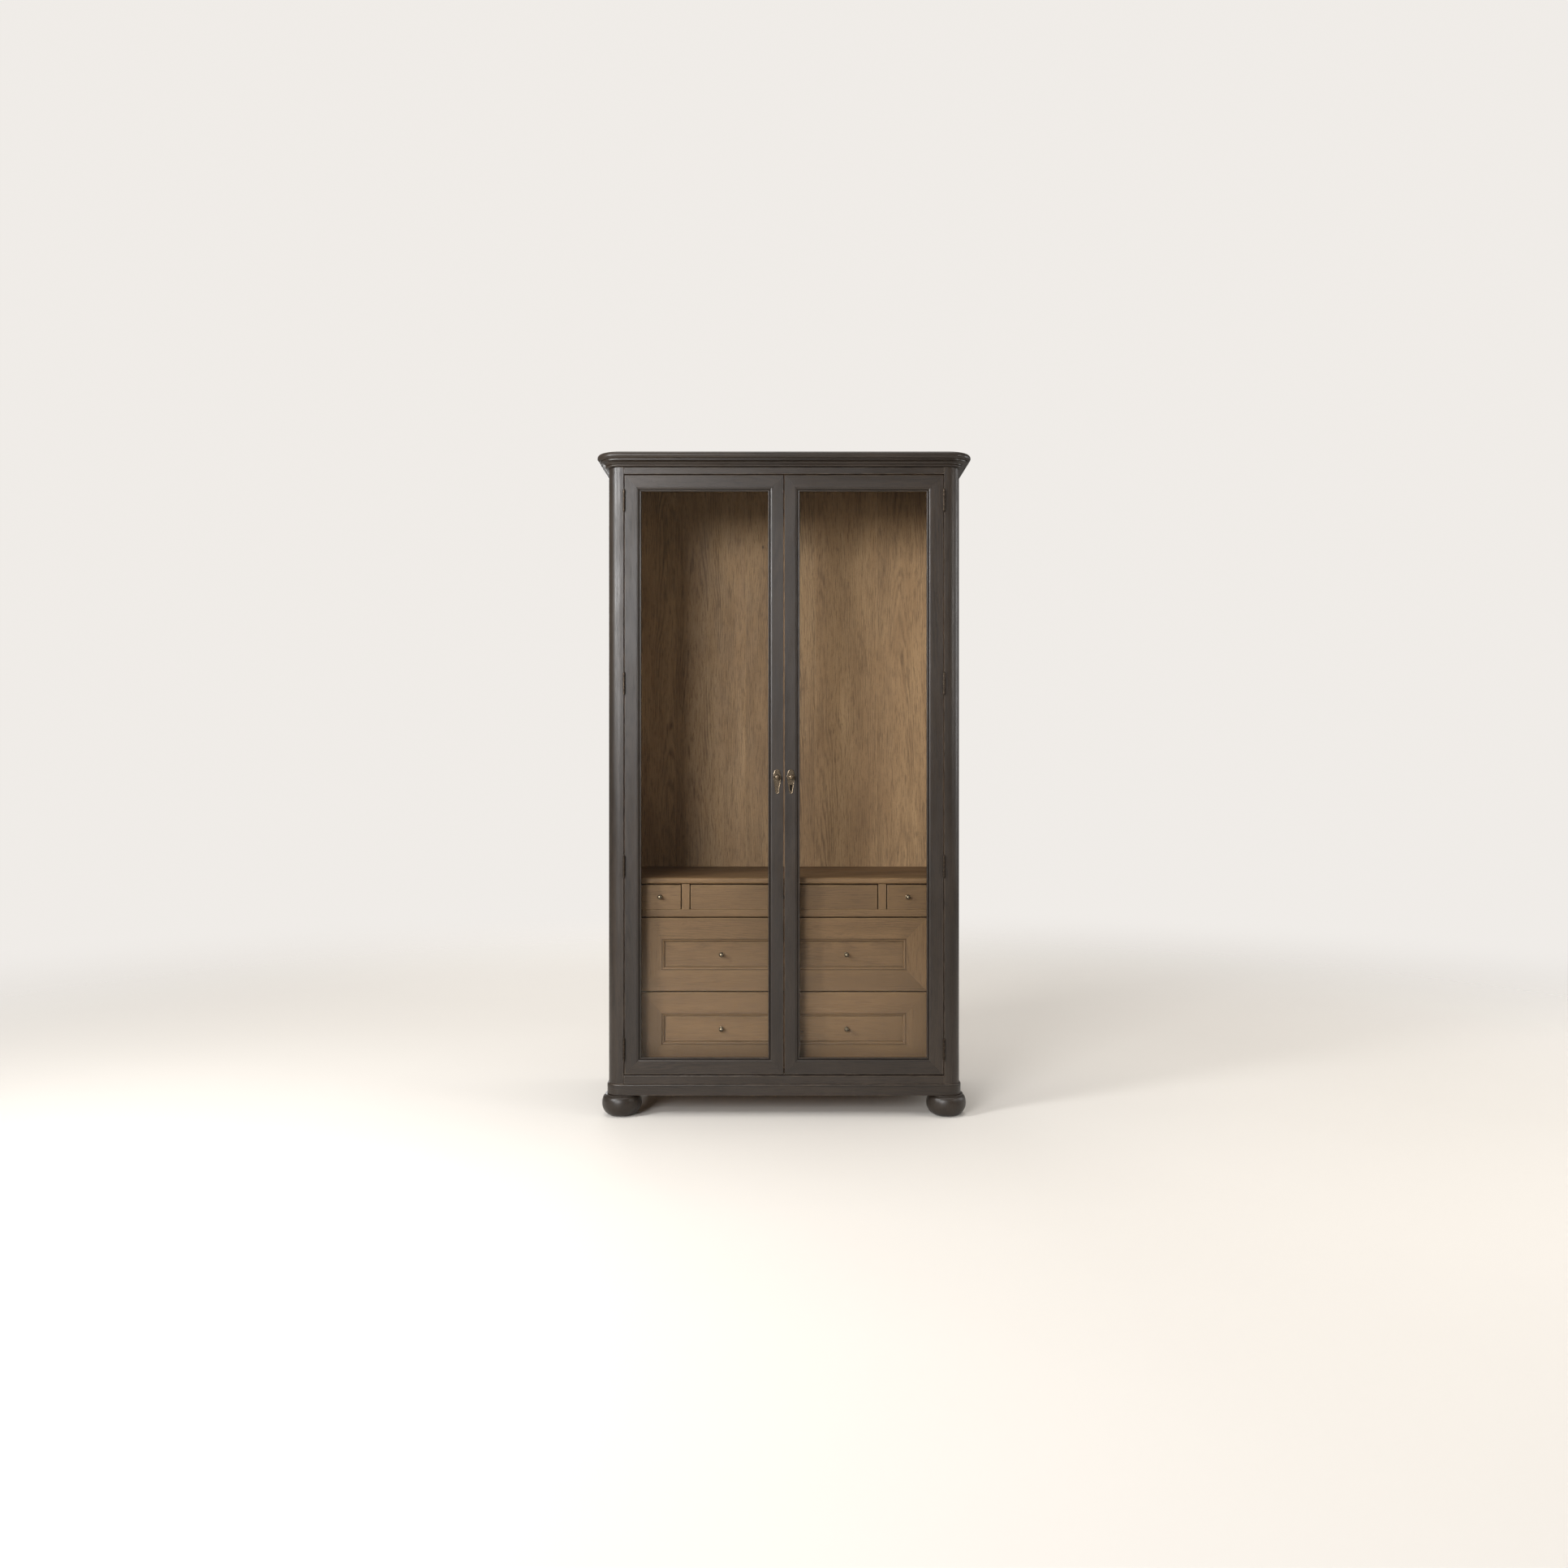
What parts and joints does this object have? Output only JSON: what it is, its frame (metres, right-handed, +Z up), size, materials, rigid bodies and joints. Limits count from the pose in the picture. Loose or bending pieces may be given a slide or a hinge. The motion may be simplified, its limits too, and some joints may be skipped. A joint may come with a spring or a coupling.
{
  "type": "armoire",
  "caption": "Tall armoire with glazed hinged doors over an upper compartment with a shelf and a case of drawers, with a rounded cornice, rounded corner posts and bun feet.",
  "frame": {"origin": "middle of the floor under the object, at the centre of its bounding box's lower face", "axes": "+Z up, the front with the doors faces -Y, +X to the right as seen from the front"},
  "size_m": [1.332, 0.651, 2.35],
  "materials": {
    "dark_oak": "open-grained oak with a very dark charcoal-brown satin stain, worn lighter at the edges",
    "warm_oak": "medium warm brown oak, low satin",
    "glass": "clear plain glass",
    "aged_brass": "dark aged brass, satin"
  },
  "bodies": {
    "carcass": {"plinth": "dark_oak", "bottom_rail": "dark_oak", "frieze_rail": "dark_oak", "cornice": "dark_oak", "top_board": "dark_oak", "back_panel": "warm_oak", "floor_board": "warm_oak", "shelf_board": "warm_oak", "drawer_web_board": "warm_oak", "front_left_foot": "dark_oak", "front_right_foot": "dark_oak", "rear_left_foot": "dark_oak", "rear_right_foot": "dark_oak", "left_post": "dark_oak", "left_side_panel": "dark_oak", "left_divider": "warm_oak", "left_drawer_guide": "warm_oak", "left_hinge_1_frame_leaf": "aged_brass", "left_hinge_2_frame_leaf": "aged_brass", "left_hinge_3_frame_leaf": "aged_brass", "left_hinge_4_frame_leaf": "aged_brass", "right_post": "dark_oak", "right_side_panel": "dark_oak", "right_divider": "warm_oak", "right_drawer_guide": "warm_oak", "right_hinge_1_frame_leaf": "aged_brass", "right_hinge_2_frame_leaf": "aged_brass", "right_hinge_3_frame_leaf": "aged_brass", "right_hinge_4_frame_leaf": "aged_brass"},
    "left_door": {"left_door_frame": "dark_oak", "left_door_glass": "glass", "left_door_plate": "aged_brass", "left_door_knob": "aged_brass", "left_hinge_1_door_leaf": "aged_brass", "left_hinge_2_door_leaf": "aged_brass", "left_hinge_3_door_leaf": "aged_brass", "left_hinge_4_door_leaf": "aged_brass"},
    "right_door": {"right_door_frame": "dark_oak", "right_door_glass": "glass", "right_door_plate": "aged_brass", "right_door_knob": "aged_brass", "right_hinge_1_door_leaf": "aged_brass", "right_hinge_2_door_leaf": "aged_brass", "right_hinge_3_door_leaf": "aged_brass", "right_hinge_4_door_leaf": "aged_brass", "lock_case": "aged_brass"},
    "small_drawer_left": {"left_small_drawer": "warm_oak", "left_small_drawer_knob": "aged_brass"},
    "small_drawer_middle": {"middle_small_drawer": "warm_oak", "middle_small_drawer_knob": "aged_brass"},
    "small_drawer_right": {"right_small_drawer": "warm_oak", "right_small_drawer_knob": "aged_brass"},
    "wide_drawer_upper": {"upper_wide_drawer_front": "warm_oak", "upper_wide_drawer_box": "warm_oak", "upper_wide_drawer_left_knob": "aged_brass", "upper_wide_drawer_right_knob": "aged_brass"},
    "wide_drawer_lower": {"lower_wide_drawer_front": "warm_oak", "lower_wide_drawer_box": "warm_oak", "lower_wide_drawer_left_knob": "aged_brass", "lower_wide_drawer_right_knob": "aged_brass"}
  },
  "joints": [
    {"name": "left_door_hinge", "type": "hinge", "parent": "carcass", "child": "left_door", "pos_m": [-0.5663, -0.289, 1.21175], "axis": [0, 0, -1], "range_deg": [0, 170]},
    {"name": "right_door_hinge", "type": "hinge", "parent": "carcass", "child": "right_door", "pos_m": [0.5663, -0.289, 1.21175], "axis": [0, 0, 1], "range_deg": [0, 170]},
    {"name": "small_drawer_left_slide", "type": "slide", "parent": "carcass", "child": "small_drawer_left", "axis": [0, -1, 0], "range_m": [0, 0.28]},
    {"name": "small_drawer_middle_slide", "type": "slide", "parent": "carcass", "child": "small_drawer_middle", "axis": [0, -1, 0], "range_m": [0, 0.28]},
    {"name": "small_drawer_right_slide", "type": "slide", "parent": "carcass", "child": "small_drawer_right", "axis": [0, -1, 0], "range_m": [0, 0.28]},
    {"name": "wide_drawer_upper_slide", "type": "slide", "parent": "carcass", "child": "wide_drawer_upper", "axis": [0, -1, 0], "range_m": [0, 0.28]},
    {"name": "wide_drawer_lower_slide", "type": "slide", "parent": "carcass", "child": "wide_drawer_lower", "axis": [0, -1, 0], "range_m": [0, 0.28]}
  ],
  "couplings": [
    {"joint": "right_door_hinge", "follows": "left_door_hinge", "ratio": 1},
    {"joint": "small_drawer_left_slide", "follows": "left_door_hinge", "m_per_rad": 0.094},
    {"joint": "small_drawer_middle_slide", "follows": "left_door_hinge", "m_per_rad": 0.094},
    {"joint": "small_drawer_right_slide", "follows": "left_door_hinge", "m_per_rad": 0.094},
    {"joint": "wide_drawer_upper_slide", "follows": "left_door_hinge", "m_per_rad": 0.094},
    {"joint": "wide_drawer_lower_slide", "follows": "left_door_hinge", "m_per_rad": 0.094}
  ]
}
